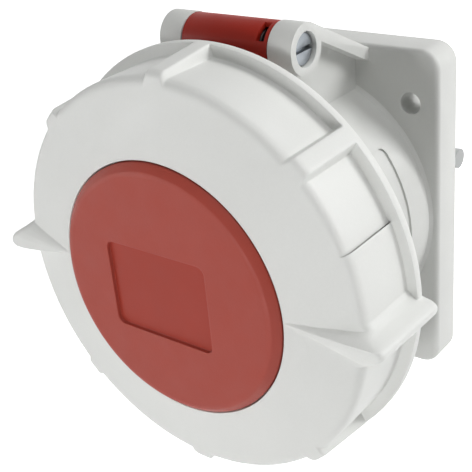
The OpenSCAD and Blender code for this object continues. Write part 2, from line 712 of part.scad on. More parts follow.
// Steep-backed thumb wing on one side of the ring
module wing() {
    ridge_x = wing_tip_r - wing_ridge_r;
    ridge_len = cone_top_u - wing_ridge_r - rim_u;
    difference() {
        hull() {
            translate([cone_top_r + 0.8, 0.9, cone_top_u - 0.5]) sphere(0.3, $fn = 16);
            translate([ridge_x, 0.2, rim_u]) cylinder(h = ridge_len - 1, r = wing_ridge_r, $fn = 24);
            translate([ridge_x, 0.2, rim_u + ridge_len]) sphere(wing_ridge_r, $fn = 24);
            translate([panel_r - 0.8, 1.2, rim_u]) cylinder(h = ridge_len - 5.4, r = 1, $fn = 16);
            translate([panel_r + 1.4, -3.9, rim_u]) cylinder(h = ridge_len - 3.3, r = 1, $fn = 16);
        }
        // the hull's inner part would reach into the ring's hollow
        translate([0, 0, rim_u - 1]) cylinder(h = shoulder_u + 1.5 - rim_u, r = skirt_r + 0.5);
        translate([0, 0, rim_u - 1]) cylinder(h = ring_wall_back_u + 2 - rim_u, r = plate_r + 2);
    }
}

module bayonet_ring() {
    color(grey) socket_axes() union() {
        rotate_extrude() ring_outline(panel_r, panel_r - 0.3);
        tube(rim_r, skirt_r, rim_u, rim_u + rim_w);
        // ribs, cut from the ring's larger outline
        intersection() {
            rotate_extrude() ring_outline(rim_r, rim_r - 0.6);
            for (i = [1:rib_count]) rotate([0, 0, 360 * i / rib_count])
                translate([skirt_r + 0.5, -rib_w / 2, rim_u]) cube([rim_r, rib_w, disc_edge_u]);
        }
        for (a = [0, 180]) rotate([0, 0, a]) {
            wing();
            ring_sector(lug_r, skirt_r + 1, lug_u, lug_u + lug_t, -lug_sweep / 2, lug_sweep / 2);
        }
    }
}

module hinge_pin() {
    head_x = ear_out_x - pin_sunk - pin_head_len;
    color(steel) socket_axes() difference() {
        union() {
            hinge_cylinder(-ear_out_x + 1.6, head_x + 0.5, pin_shank_r);
            hinge_cylinder(head_x, head_x + pin_head_len, pin_head_r);
        }
        translate([head_x + pin_head_len - 1.2, hinge_up, hinge_u]) rotate([35, 0, 0])
            cube([3, 1.1, 4 * pin_head_r], center = true);
    }
}

// Torsion spring round the pin, inside the right end of the barrel
module hinge_spring() {
    sides = 8;
    per_turn = 14;
    coil = helix(spring_turns, spring_coil_r, spring_pitch, per_turn);
    last = coil[len(coil) - 1];
    first = coil[0];
    leg = 0.75 * spring_coil_r;
    bend = [0, 0, 1.5 * spring_wire_r];
    path = concat([first - [0, 0, leg], first - bend], coil, [last + bend, last + [0, 0, leg]]);
    function unit(v) = v / norm(v);
    function heading(i) =
        unit(path[min(i + 1, len(path) - 1)] - path[max(i - 1, 0)]);
    function side_of(i) = unit(cross(heading(i), [0.05, 0.03, 1]));
    function ring_at(i) = let (s = side_of(i), t = cross(heading(i), s))
        [for (j = [0:sides - 1])
            path[i] + spring_wire_r * (cos(360 * j / sides) * s + sin(360 * j / sides) * t)];
    rings = [for (i = [0:len(path) - 1]) each ring_at(i)];
    n = len(path);
    walls = [for (i = [0:n - 2], j = [0:sides - 1])
        let (a = i * sides + j, b = i * sides + (j + 1) % sides) [a, b, b + sides, a + sides]];
    caps = [[for (j = [0:sides - 1]) sides - 1 - j], [for (j = [0:sides - 1]) (n - 1) * sides + j]];
    color(steel) socket_axes() translate([spring_x, hinge_up, hinge_u]) rotate([0, 90, 0])
        polyhedron(points = rings, faces = concat(walls, caps), convexity = 8);
}

housing();
flange_gasket();
contact_insert();
insert_seal();
terminal_carrier();
contact_l1();
contact_l2();
contact_l3();
contact_neutral();
contact_earth();
sleeve_springs();
terminal_screws();
carrier_screws();
middle_screw();
lid();
lid_seal();
front_disc();
disc_screws();
bayonet_ring();
hinge_pin();
hinge_spring();
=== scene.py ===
import json
import math

import bmesh
import bpy
from mathutils import Matrix, Vector


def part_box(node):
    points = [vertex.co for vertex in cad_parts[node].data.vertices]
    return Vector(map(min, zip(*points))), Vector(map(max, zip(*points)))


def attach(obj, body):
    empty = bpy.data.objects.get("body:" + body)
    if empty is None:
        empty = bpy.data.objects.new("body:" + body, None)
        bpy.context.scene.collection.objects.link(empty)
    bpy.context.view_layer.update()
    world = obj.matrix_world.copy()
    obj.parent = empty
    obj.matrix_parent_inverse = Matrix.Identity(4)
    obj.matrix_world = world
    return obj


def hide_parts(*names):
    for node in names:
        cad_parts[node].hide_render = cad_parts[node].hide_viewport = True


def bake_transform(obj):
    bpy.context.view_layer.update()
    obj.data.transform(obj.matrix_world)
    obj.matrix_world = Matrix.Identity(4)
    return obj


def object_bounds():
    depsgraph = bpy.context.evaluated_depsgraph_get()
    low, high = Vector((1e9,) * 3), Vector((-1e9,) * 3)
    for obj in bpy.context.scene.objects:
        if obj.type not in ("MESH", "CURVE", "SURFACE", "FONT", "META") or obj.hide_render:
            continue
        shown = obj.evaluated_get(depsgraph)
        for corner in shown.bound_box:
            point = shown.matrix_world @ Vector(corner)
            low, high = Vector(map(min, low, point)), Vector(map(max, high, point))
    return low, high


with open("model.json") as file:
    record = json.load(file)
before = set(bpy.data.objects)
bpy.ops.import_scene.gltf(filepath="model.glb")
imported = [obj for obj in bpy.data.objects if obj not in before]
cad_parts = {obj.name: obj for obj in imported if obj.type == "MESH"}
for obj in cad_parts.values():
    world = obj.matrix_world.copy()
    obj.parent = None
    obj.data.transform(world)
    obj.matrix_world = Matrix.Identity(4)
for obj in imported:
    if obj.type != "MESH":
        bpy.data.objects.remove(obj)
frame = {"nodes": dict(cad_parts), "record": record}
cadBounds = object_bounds()
cadNodes = frame["nodes"]
scene = bpy.context.scene
mm = 0.001

print("stage: frame loaded,", len(cadNodes), "nodes")

# Places come from the frame: the socket's axis, and the front face of the flange
discLow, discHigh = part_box("front_disc")
axisHeight = (discLow.z + discHigh.z) / 2
ringRear = 36.9  # from the flange's front face to the rear of the locking ring, in mm
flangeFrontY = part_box("bayonet_ring")[1].y + ringRear * mm


# ---- camera ----
cameraSettings = {
    "position": (0.13833, -0.20793, 0.1104),  # height above the socket's axis
    "azimuth": 40.03,
    "elevation": 26.62,
    "roll": -5.69,
    "lens": 74.3,
}


def makeCamera(settings):
    azimuth = math.radians(settings["azimuth"])
    elevation = math.radians(settings["elevation"])
    roll = math.radians(settings["roll"])
    back = Vector((
        math.sin(azimuth) * math.cos(elevation),
        -math.cos(azimuth) * math.cos(elevation),
        math.sin(elevation),
    ))
    right = Vector((math.cos(azimuth), math.sin(azimuth), 0))
    up = back.cross(right)
    rolledRight = right * math.cos(roll) + up * math.sin(roll)
    rolledUp = up * math.cos(roll) - right * math.sin(roll)
    data = bpy.data.cameras.new("camera")
    data.lens = settings["lens"]
    data.sensor_width = 36
    data.clip_start = 0.01
    camera = bpy.data.objects.new("camera", data)
    scene.collection.objects.link(camera)
    turn = Matrix((rolledRight, rolledUp, back)).transposed().to_4x4()
    position = Vector(settings["position"]) + Vector((0, 0, axisHeight))
    camera.matrix_world = Matrix.Translation(position) @ turn
    scene.camera = camera


makeCamera(cameraSettings)
scene.view_settings.view_transform = "Standard"
print("stage: camera")


# ---- materials ----
def newMaterial(name):
    material = bpy.data.materials.new(name)
    material.use_nodes = True
    tree = material.node_tree
    return material, tree, tree.nodes["Principled BSDF"]


def addNode(tree, kind, inputs=None, **settings):
    node = tree.nodes.new(kind)
    for key, value in settings.items():
        setattr(node, key, value)
    for key, value in (inputs or {}).items():
        if isinstance(value, bpy.types.NodeSocket):
            tree.links.new(value, node.inputs[key])
        else:
            node.inputs[key].default_value = value
    return node


def linear(colour, factor=1.0):
    # sRGB from 0 to 255, as a linear colour
    values = []
    for c in colour:
        c = min(1.0, c / 255)
        c = c / 12.92 if c <= 0.04045 else ((c + 0.055) / 1.055) ** 2.4
        values.append(min(1.0, c * factor))
    return (*values, 1.0)


def spread(tree, source, low, high):
    # a noise value from 0.3 to 0.7, spread over low to high
    return addNode(tree, "ShaderNodeMapRange", {
        "Value": source, "From Min": 0.3, "From Max": 0.7, "To Min": low, "To Max": high,
    }).outputs["Result"]


def mixColour(tree, factor, first, second):
    node = addNode(tree, "ShaderNodeMix", data_type="RGBA")
    tree.links.new(factor, node.inputs[0])
    for index, value in ((6, first), (7, second)):
        if isinstance(value, bpy.types.NodeSocket):
            tree.links.new(value, node.inputs[index])
        else:
            node.inputs[index].default_value = value
    return node.outputs[2]


def mouldedPlastic(name, look):
    material, tree, shader = newMaterial(name)
    here = addNode(tree, "ShaderNodeTexCoord").outputs["Object"]
    # slow change of tone where the melt flowed, and fine pigment in it
    flow = addNode(tree, "ShaderNodeTexNoise", {"Vector": here, "Scale": 55.0, "Detail": 2.0})
    pigment = addNode(tree, "ShaderNodeTexNoise", {"Vector": here, "Scale": 1900.0, "Detail": 2.0})
    tone = mixColour(tree, flow.outputs["Fac"],
                     linear(look["colour"], 1 - look["flow"]), linear(look["colour"], 1 + look["flow"]))
    fleck = spread(tree, pigment.outputs["Fac"], 0.0, look["fleck"])
    shade = mixColour(tree, fleck, tone, linear(look["colour"], 0.72))
    tree.links.new(shade, shader.inputs["Base Color"])
    # spark-eroded mould texture
    grain = addNode(tree, "ShaderNodeTexNoise", {
        "Vector": here, "Scale": look["grainScale"], "Detail": 4.0, "Roughness": 0.6,
    })
    polish = addNode(tree, "ShaderNodeTexNoise", {"Vector": here, "Scale": 140.0, "Detail": 3.0})
    tree.links.new(
        spread(tree, polish.outputs["Fac"], look["roughness"] - 0.05, look["roughness"] + 0.06),
        shader.inputs["Roughness"])
    bump = addNode(tree, "ShaderNodeBump", {
        "Height": grain.outputs["Fac"], "Strength": look["grain"], "Distance": 0.00012,
    })
    tree.links.new(bump.outputs["Normal"], shader.inputs["Normal"])
    shader.inputs["Specular IOR Level"].default_value = look["gloss"]
    return material


def turnedMetal(name, look):
    material, tree, shader = newMaterial(name)
    here = addNode(tree, "ShaderNodeTexCoord").outputs["Object"]
    stretched = addNode(tree, "ShaderNodeMapping", {"Vector": here, "Scale": look["stretch"]})
    lines = addNode(tree, "ShaderNodeTexNoise", {
        "Vector": stretched.outputs["Vector"], "Scale": 900.0, "Detail": 4.0,
    })
    stain = addNode(tree, "ShaderNodeTexNoise", {"Vector": here, "Scale": 260.0, "Detail": 3.0})
    tone = mixColour(tree, stain.outputs["Fac"], linear(look["colour"], 0.86), linear(look["colour"], 1.08))
    tree.links.new(tone, shader.inputs["Base Color"])
    tree.links.new(
        spread(tree, lines.outputs["Fac"], look["roughness"] - 0.08, look["roughness"] + 0.1),
        shader.inputs["Roughness"])
    bump = addNode(tree, "ShaderNodeBump", {
        "Height": lines.outputs["Fac"], "Strength": look["scratch"], "Distance": 0.00008,
    })
    tree.links.new(bump.outputs["Normal"], shader.inputs["Normal"])
    shader.inputs["Metallic"].default_value = 1.0
    return material


def softRubber(name, look):
    material, tree, shader = newMaterial(name)
    here = addNode(tree, "ShaderNodeTexCoord").outputs["Object"]
    bloom = addNode(tree, "ShaderNodeTexNoise", {"Vector": here, "Scale": 210.0, "Detail": 5.0})
    tone = mixColour(tree, bloom.outputs["Fac"], linear(look["colour"], 0.8), linear(look["colour"], 1.5))
    tree.links.new(tone, shader.inputs["Base Color"])
    tree.links.new(spread(tree, bloom.outputs["Fac"], 0.62, 0.82), shader.inputs["Roughness"])
    pores = addNode(tree, "ShaderNodeTexNoise", {"Vector": here, "Scale": 2600.0, "Detail": 2.0})
    bump = addNode(tree, "ShaderNodeBump", {
        "Height": pores.outputs["Fac"], "Strength": 0.3, "Distance": 0.0001,
    })
    tree.links.new(bump.outputs["Normal"], shader.inputs["Normal"])
    return material


plasticLooks = {
    # the housing's grey is set darker than the ring's grey, though both are one plastic: painted shade, for the
    # shade the housing lies in behind the ring
    "housingGreyPaintedShade": {"colour": (213, 214, 211), "flow": 0.012, "fleck": 0.05, "grainScale": 2600.0,
                    "grain": 0.16, "roughness": 0.46, "gloss": 0.4},
    "ringGrey": {"colour": (224, 225, 222), "flow": 0.012, "fleck": 0.05, "grainScale": 2600.0,
                 "grain": 0.16, "roughness": 0.46, "gloss": 0.4},
    "carrierGrey": {"colour": (176, 178, 178), "flow": 0.015, "fleck": 0.06, "grainScale": 2200.0,
                    "grain": 0.22, "roughness": 0.5, "gloss": 0.4},
    "lidRed": {"colour": (150, 35, 21), "flow": 0.03, "fleck": 0.08, "grainScale": 2400.0,
               "grain": 0.18, "roughness": 0.46, "gloss": 0.2},
    "discRed": {"colour": (156, 59, 45), "flow": 0.03, "fleck": 0.1, "grainScale": 1700.0,
                "grain": 0.34, "roughness": 0.52, "gloss": 0.4},
    "labelRed": {"colour": (153, 48, 31), "flow": 0.02, "fleck": 0.05, "grainScale": 2200.0,
                 "grain": 0.1, "roughness": 0.42, "gloss": 0.3},
}
metalLooks = {
    "turnedBrass": {"colour": (214, 184, 118), "stretch": (1, 0.06, 1), "roughness": 0.3, "scratch": 0.12},
    "platedSteel": {"colour": (146, 151, 156), "stretch": (1, 1, 0.08), "roughness": 0.36, "scratch": 0.16},
    "bluedSteel": {"colour": (62, 54, 54), "stretch": (0.1, 1, 1), "roughness": 0.5, "scratch": 0.1},
}
rubberLook = {"colour": (38, 38, 40)}

finishes = {name: mouldedPlastic(name, look) for name, look in plasticLooks.items()}
finishes.update({name: turnedMetal(name, look) for name, look in metalLooks.items()})
finishes["sealBlack"] = softRubber("sealBlack", rubberLook)
print("stage: materials,", len(finishes))

finishOfSlot = {
    "housing": "housingGreyPaintedShade", "ring": "ringGrey", "carrier": "carrierGrey", "lid": "lidRed",
    "disc": "discRed", "seal": "sealBlack", "contact": "turnedBrass", "steel": "platedSteel",
}
slotOfNode = {part["node"]: part["material_slot"] for part in frame["record"]["subparts"]}


def finish(obj, nodeName):
    obj.data.materials.clear()
    obj.data.materials.append(finishes[finishOfSlot[slotOfNode[nodeName]]])


for nodeName, node in cadNodes.items():
    finish(node, nodeName)


# ---- floor and light ----
stageSettings = {
    "floorDrop": 0.075,
    "floorSize": 3.0,
    "floorColour": (250, 250, 250),
    "world": 0.03,
    "floorGlow": 0.62,
    "aim": (0, -0.03, 0),
    "lamps": {
        "leftFront": {"at": (-0.7, -0.8, 0.1), "size": 0.5, "power": 2.56},
        "backTop": {"at": (0.1, 0.55, 0.8), "size": 0.5, "power": 2.15},
        "highRight": {"at": (0.55, -0.1, 0.85), "size": 0.5, "power": 2.7},
        "backRight": {"at": (0.8, 0.5, 0.5), "size": 0.5, "power": 6.6},
        "lowNear": {"at": (0.1, -0.6, -0.05), "size": 0.12, "power": 0.88},
        "front": {"at": (-0.1, -1.0, 0.2), "size": 0.6, "power": 0.29},
        "frontHigh": {"at": (0.1, -0.75, 0.75), "size": 0.5, "power": 0.23},
        "topSmall": {"at": (0.15, -0.2, 0.95), "size": 0.25, "power": 0.26},
    },
}


def paleSurface(name, colour, glow):
    material = bpy.data.materials.new(name)
    material.use_nodes = True
    tree = material.node_tree
    shader = tree.nodes["Principled BSDF"]
    shader.inputs["Roughness"].default_value = 0.8
    here = addNode(tree, "ShaderNodeTexCoord").outputs["Object"]
    cloud = addNode(tree, "ShaderNodeTexNoise", {"Vector": here, "Scale": 3.0})
    tone = mixColour(tree, cloud.outputs["Fac"], linear(colour, 0.985), linear(colour, 1.0))
    tree.links.new(tone, shader.inputs["Base Color"])
    # seen by the camera and in gloss, the floor is lifted to white, and its shadow stays
    path = addNode(tree, "ShaderNodeLightPath")
    seen = addNode(tree, "ShaderNodeMath", {0: path.outputs["Is Camera Ray"], 1: path.outputs["Is Glossy Ray"]},
                   operation="MAXIMUM")
    # the lamps reach less of the floor further out, so more is added there
    flat = addNode(tree, "ShaderNodeVectorMath", {0: here, 1: (1, 1, 0)}, operation="MULTIPLY")
    far = addNode(tree, "ShaderNodeVectorMath", {0: flat.outputs["Vector"]}, operation="LENGTH")
    reach = addNode(tree, "ShaderNodeMapRange", {
        "Value": far.outputs["Value"], "From Min": 0.2, "From Max": 0.9, "To Min": glow, "To Max": 1.0,
    })
    strength = addNode(tree, "ShaderNodeMath", {0: seen.outputs[0], 1: reach.outputs["Result"]},
                       operation="MULTIPLY")
    lift = addNode(tree, "ShaderNodeEmission", {"Color": (1, 1, 1, 1), "Strength": strength.outputs[0]})
    both = addNode(tree, "ShaderNodeAddShader")
    tree.links.new(shader.outputs[0], both.inputs[0])
    tree.links.new(lift.outputs[0], both.inputs[1])
    tree.links.new(both.outputs[0], tree.nodes["Material Output"].inputs["Surface"])
    return material


def makeStage(settings):
    low = cadBounds[0].z - settings["floorDrop"]
    half = settings["floorSize"] / 2
    mesh = bpy.data.meshes.new("floor")
    corners = [(-half, -half, low), (half, -half, low), (half, half, low), (-half, half, low)]
    mesh.from_pydata(corners, [], [(0, 1, 2, 3)])
    floor = bpy.data.objects.new("floor", mesh)
    floor.data.materials.append(paleSurface("paleFloor", settings["floorColour"], settings["floorGlow"]))
    scene.collection.objects.link(floor)
    aim = Vector(settings["aim"])
    for name, lamp in settings["lamps"].items():
        data = bpy.data.lights.new(name, "AREA")
        data.shape = "DISK"
        data.size = lamp["size"]
        data.energy = lamp["power"]
        light = bpy.data.objects.new(name, data)
        at = Vector(lamp["at"])
        light.matrix_world = Matrix.Translation(at) @ (at - aim).to_track_quat("Z", "Y").to_matrix().to_4x4()
        scene.collection.objects.link(light)
    world = bpy.data.worlds.new("studio")
    world.use_nodes = True
    scene.world = world
    tree = world.node_tree
    tree.nodes.clear()
    path = addNode(tree, "ShaderNodeLightPath")
    soft = addNode(tree, "ShaderNodeBackground", {"Color": (1, 1, 1, 1), "Strength": settings["world"]})
    plain = addNode(tree, "ShaderNodeBackground", {"Color": (1, 1, 1, 1), "Strength": 1.0})
    mixed = addNode(tree, "ShaderNodeMixShader")
    seen = addNode(tree, "ShaderNodeMath", {0: path.outputs["Is Camera Ray"], 1: path.outputs["Is Glossy Ray"]},
                   operation="MAXIMUM")
    tree.links.new(seen.outputs[0], mixed.inputs[0])
    tree.links.new(soft.outputs[0], mixed.inputs[1])
    tree.links.new(plain.outputs[0], mixed.inputs[2])
    output = addNode(tree, "ShaderNodeOutputWorld")
    tree.links.new(mixed.outputs[0], output.inputs["Surface"])


makeStage(stageSettings)
print("stage: floor and light")


# ---- pieces ----
def addMesh(name, mesh, body, nodeName):
    obj = bpy.data.objects.new(name, mesh)
    scene.collection.objects.link(obj)
    finish(obj, nodeName)
    if body:
        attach(obj, body)
    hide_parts(nodeName)
    return obj


def copyOfNode(nodeName):
    # the node's solid as one clean mesh, its corners welded and its degenerate faces dissolved
    mesh = cadNodes[nodeName].data.copy()
    work = bmesh.new()
    work.from_mesh(mesh)
    bmesh.ops.remove_doubles(work, verts=work.verts, dist=0.002 * mm)
    bmesh.ops.dissolve_degenerate(work, edges=work.edges, dist=0.002 * mm)
    work.to_mesh(mesh)
    work.free()
    return mesh


def evaluatedMesh(obj):
    bpy.context.view_layer.update()
    return bpy.data.meshes.new_from_object(obj.evaluated_get(bpy.context.evaluated_depsgraph_get()))


def aroundAxisTree():
    # repeats a mesh round the socket's axis, from the mesh's own place at the right
    tree = bpy.data.node_groups.new("aroundAxis", "GeometryNodeTree")
    for name, kind in (("Geometry", "Geometry"), ("Count", "Int"), ("First Angle", "Float"),
                       ("Step Angle", "Float"), ("Axis Height", "Float"), ("Weld", "Float"),
                       ("Material", "Material")):
        tree.interface.new_socket(name, in_out="INPUT", socket_type="NodeSocket" + kind)
    tree.interface.new_socket("Geometry", in_out="OUTPUT", socket_type="NodeSocketGeometry")
    given = addNode(tree, "NodeGroupInput").outputs
    middle = addNode(tree, "ShaderNodeCombineXYZ", {"Z": given["Axis Height"]})
    points = addNode(tree, "GeometryNodePoints", {
        "Count": given["Count"], "Position": middle.outputs[0],
    })
    index = addNode(tree, "GeometryNodeInputIndex")
    angle = addNode(tree, "ShaderNodeMath", {
        0: index.outputs[0], 1: given["Step Angle"], 2: given["First Angle"],
    }, operation="MULTIPLY_ADD")
    turn = addNode(tree, "FunctionNodeAxisAngleToRotation", {
        "Axis": (0, -1, 0), "Angle": angle.outputs[0],
    })
    copies = addNode(tree, "GeometryNodeInstanceOnPoints", {
        "Points": points.outputs[0], "Instance": given["Geometry"], "Rotation": turn.outputs[0],
    })
    solid = addNode(tree, "GeometryNodeRealizeInstances", {"Geometry": copies.outputs[0]})
    welded = addNode(tree, "GeometryNodeMergeByDistance", {
        "Geometry": solid.outputs[0], "Distance": given["Weld"],
    })
    painted = addNode(tree, "GeometryNodeSetMaterial", {
        "Geometry": welded.outputs[0], "Material": given["Material"],
    })
    tree.links.new(painted.outputs[0], addNode(tree, "NodeGroupOutput").inputs[0])
    return tree


aroundAxis = aroundAxisTree()


def repeated(mesh, nodeName, values):
    work = bpy.data.objects.new("work", mesh)
    scene.collection.objects.link(work)
    modifier = work.modifiers.new("around", "NODES")
    modifier.node_group = aroundAxis
    material = finishes[finishOfSlot[slotOfNode[nodeName]]]
    values = {"Axis Height": axisHeight, "Weld": 0.0, "Material": material, **values}
    for item in aroundAxis.interface.items_tree:
        if item.in_out == "INPUT" and item.name in values:
            modifier[item.identifier] = values[item.name]
    result = evaluatedMesh(work)
    bpy.data.objects.remove(work)
    return result


def joined(*meshes):
    work = bmesh.new()
    for mesh in meshes:
        work.from_mesh(mesh)
    bmesh.ops.remove_doubles(work, verts=work.verts, dist=0.001 * mm)
    result = bpy.data.meshes.new("joined")
    work.to_mesh(result)
    work.free()
    return result


def outwards(mesh):
    work = bmesh.new()
    work.from_mesh(mesh)
    bmesh.ops.recalc_face_normals(work, faces=work.faces)
    work.to_mesh(mesh)
    work.free()


def smoothUnder(mesh, degrees):
    mesh.shade_smooth()
    mesh.set_sharp_from_angle(angle=math.radians(degrees))


def smoothStep(x):
    x = min(1.0, max(0.0, x))
    return x * x * (3 - 2 * x)


# ---- locking ring ----
ringLook = {
    "boreR": 28.08, "seatR": 32.15, "seatOut": 58.0, "faceOut": 60.0, "faceSlope": 0.215,
    "panelR": 49.9, "panelTaper": 0.1, "edgeRound": 2.2,
    "ribR": 52.8, "ribTaper": 1.4, "ribWidth": 5.2, "ribFillet": 1.3,
    "rimRear": ringRear, "rimFront": 39.25, "rimRound": 0.55,
    "skirtR": 45.7, "shoulderOut": 53.0, "plateR": 37.4, "wallBack": 54.6,
    "lugR": 37.2, "lugRear": 37.9, "lugFront": 40.9, "lugSweep": 14,
    "wingTop": 59.95, "wingTaper": 0.6,
    # each wing's ridge and foot, seen from the front
    "rightRidge": ((32.7, 1.3), (40.3, 1.05), (48.0, 1.0), (55.2, 1.2)),
    "rightFoot": ((32.7, 1.1), (41.2, -2.3), (48.8, -5.5), (55.2, -8.2)),
    "leftRidge": ((32.7, -2.0), (38.5, -0.8), (43.6, 0.2), (50.4, 1.1), (55.2, 1.2)),
    "leftFoot": ((32.7, -2.3), (41.0, -3.7), (48.6, -5.4), (55.2, -7.2)),
    # how a wing falls from its ridge to its foot, and behind the ridge: part of the way, part of
    # the height
    "wingFall": ((0, 1), (0.12, 0.98), (0.35, 0.86), (0.55, 0.68), (0.75, 0.44), (0.9, 0.21), (1.0, 0.0)),
    "wingBack": ((0, 1), (0.1, 0.92), (0.7, 0.5), (0.85, 0.3), (1.0, 0.0)),
    # each wing's edge seen from the front
    "leftEdge": ((49.4, -5.6), (50.6, -4.9), (52.2, -3.9), (54.0, -2.8), (55.6, -1.7),
                 (56.2, -1.0), (56.4, -0.3), (56.2, 0.5), (55.4, 1.1), (54.2, 1.3),
                 (52.5, 1.5), (51.0, 2.0), (50.1, 2.9), (49.6, 3.9)),
    "rightEdge": ((49.4, -6.6), (50.2, -6.2), (51.4, -5.4), (52.7, -4.3), (54.0, -3.2),
                  (55.3, -2.1), (56.0, -1.3), (56.4, -0.4), (56.4, 0.4), (56.0, 1.0),
                  (55.2, 1.5), (53.8, 1.8), (52.3, 2.2), (51.1, 3.0), (50.3, 4.1)),
}


def bend(table, x):
    # the value at x on a line through the table's points
    for (x0, y0), (x1, y1) in zip(table, table[1:]):
        if x0 <= x <= x1:
            return y0 + (y1 - y0) * (x - x0) / (x1 - x0)
    return table[0][1] if x < table[0][0] else table[-1][1]


def ringSector(look, wing=""):
    # an eighth of the ring, as a grid of sections; at its middle a rib, or the right or left wing
    winged = wing != ""
    side = -1 if wing == "left" else 1
    taper = look["wingTaper"] if winged else look["ribTaper"]
    # angles of the sections, closer together where the rib or the wing stands
    if winged:
        angles = [-22.5 + 1.5 * k for k in range(9)]
        angles += [-8.4 + 0.2 * k for k in range(69)]
        angles += [5.4 + 1.6 * k for k in range(11)]
        angles.append(22.5)
    else:
        wallMiddle = 51  # radius halfway up a rib's side
        ribHalf = math.degrees(look["ribWidth"] / 2 / wallMiddle)
        fillet = math.degrees(look["ribFillet"] / 2 / wallMiddle)
        edge = [-1.0, -0.8, -0.6, -0.4, -0.2, 0.0, 0.2, 0.4, 0.6, 0.8, 1.0]
        half = [0.0, 0.8, 1.5] + [ribHalf + fillet * e for e in edge]
        half += [3.6, 4.6, 6, 8, 10.5, 13, 15.5, 18, 20.3, 22.5]
        angles = [-t for t in reversed(half[1:])] + half
    if winged:
        ridgeLine, footLine, edgeLine = (look[wing + line] for line in ("Ridge", "Foot", "Edge"))
        apexX, tipX = ridgeLine[0][0], ridgeLine[-1][0]
        wingWall = [(math.degrees(math.atan2(z, x)), max(look["panelR"], math.hypot(x, z)))
                    for x, z in edgeLine]

    def wallR(angle):
        if winged:
            return bend(wingWall, angle)
        near = smoothStep((ribHalf + fillet - abs(angle)) / (2 * fillet))
        return look["panelR"] + (look["ribR"] - look["panelR"]) * near

    def faceOut(r, angle):
        cone = look["faceOut"] - look["faceSlope"] * (r - look["seatR"])
        if not winged:
            return cone
        x, z = r * math.cos(math.radians(angle)), r * math.sin(math.radians(angle))
        if x <= apexX:
            return cone
        along = (x - apexX) / (tipX - apexX)
        ridge = bend(ridgeLine, x)
        height = max(0.0, look["wingTop"] - cone)
        if z > ridge:
            return cone + height * bend(look["wingBack"], (z - ridge) / (1.6 * along + 0.25))
        return cone + height * bend(look["wingFall"], (ridge - z) / (ridge - bend(footLine, x)))

    def section(angle):
        rear = wallR(angle)
        grown = min(1.0, (rear - look["panelR"]) / (look["ribR"] - look["panelR"]))
        front = rear - look["panelTaper"] - (taper - look["panelTaper"]) * grown
        rimR = max(look["ribR"], rear)
        rho = look["edgeRound"] - 0.35 * grown
        points = [(look["boreR"], look["wallBack"]), (look["boreR"], look["seatOut"]),
                  (look["seatR"] - 0.3, look["seatOut"]), (look["seatR"], look["seatOut"] + 0.3),
                  (look["seatR"], look["faceOut"] - 0.25), (look["seatR"] + 0.08, look["faceOut"] - 0.08)]
        # the face, out to the round at its edge
        start = look["seatR"] + 0.3
        steps = 26
        for k in range(steps + 1):
            r = start + (front - rho - start) * k / steps
            points.append((r, faceOut(r, angle)))
        top = faceOut(front, angle)
        inner = points[-1]
        for k in range(1, 9):
            t = k / 8
            points.append(((1 - t) ** 2 * inner[0] + 2 * t * (1 - t) * front + t * t * (front + 0.03),
                           (1 - t) ** 2 * inner[1] + 2 * t * (1 - t) * top + t * t * (top - rho)))
        # down the outer wall
        low = look["rimFront"] + 0.45
        for k in range(1, 8):
            t = k / 8
            points.append((front + 0.03 + (rear - front - 0.03) * t, top - rho + (low - top + rho) * t))
        # foot of the panel, and the rim outside it
        spread = 1 - grown
        points.append((rear, low))
        points.append((rear + 0.13 * spread, look["rimFront"] + 0.13 + 0.2 * grown))
        points.append((rear + 0.45 * spread, look["rimFront"] + 0.1 * grown))
        rimEdge = look["rimRound"] * spread
        points.append((rimR - rimEdge, look["rimFront"] - 0.1 * grown))
        points.append((rimR - 0.3 * rimEdge, look["rimFront"] - 0.15 - 0.1 * grown))
        points.append((rimR, look["rimFront"] - look["rimRound"]))
        points.append((rimR, look["rimRear"] + look["rimRound"]))
        points.append((rimR - 0.16, look["rimRear"] + 0.16))
        points.append((rimR - look["rimRound"], look["rimRear"]))
        points.append((look["skirtR"] + 0.3, look["rimRear"]))
        points.append((look["skirtR"], look["rimRear"] + 0.3))
        points.append((look["skirtR"], look["shoulderOut"]))
        points.append((look["plateR"], look["shoulderOut"]))
        points.append((look["plateR"], look["wallBack"]))
        return points

    verts, faces = [], []
    for angle in angles:
        turn = math.radians(angle)
        ring = section(angle)
        for r, out in ring:
            verts.append((side * r * math.cos(turn) * mm, flangeFrontY - out * mm,
                          side * r * math.sin(turn) * mm))
    count = len(ring)
    for i in range(len(angles) - 1):
        for j in range(count):
            k = (j + 1) % count
            faces.append((i * count + j, (i + 1) * count + j, (i + 1) * count + k, i * count + k))
    mesh = bpy.data.meshes.new("sector")
    mesh.from_pydata(verts, [], faces)
    return mesh


def sectorBlock(r0, r1, out0, out1, sweep, steps):
    verts, faces = [], []
    for i in range(steps + 1):
        turn = math.radians(-sweep / 2 + sweep * i / steps)
        for r, out in ((r0, out0), (r0, out1), (r1, out1), (r1, out0)):
            verts.append((r * math.cos(turn) * mm, flangeFrontY - out * mm, r * math.sin(turn) * mm))
    for i in range(steps):
        for j in range(4):
            k = (j + 1) % 4
            faces.append((i * 4 + j, i * 4 + 4 + j, i * 4 + 4 + k, i * 4 + k))
    faces += [(3, 2, 1, 0), (steps * 4, steps * 4 + 1, steps * 4 + 2, steps * 4 + 3)]
    mesh = bpy.data.meshes.new("sectorBlock")
    mesh.from_pydata(verts, [], faces)
    return mesh


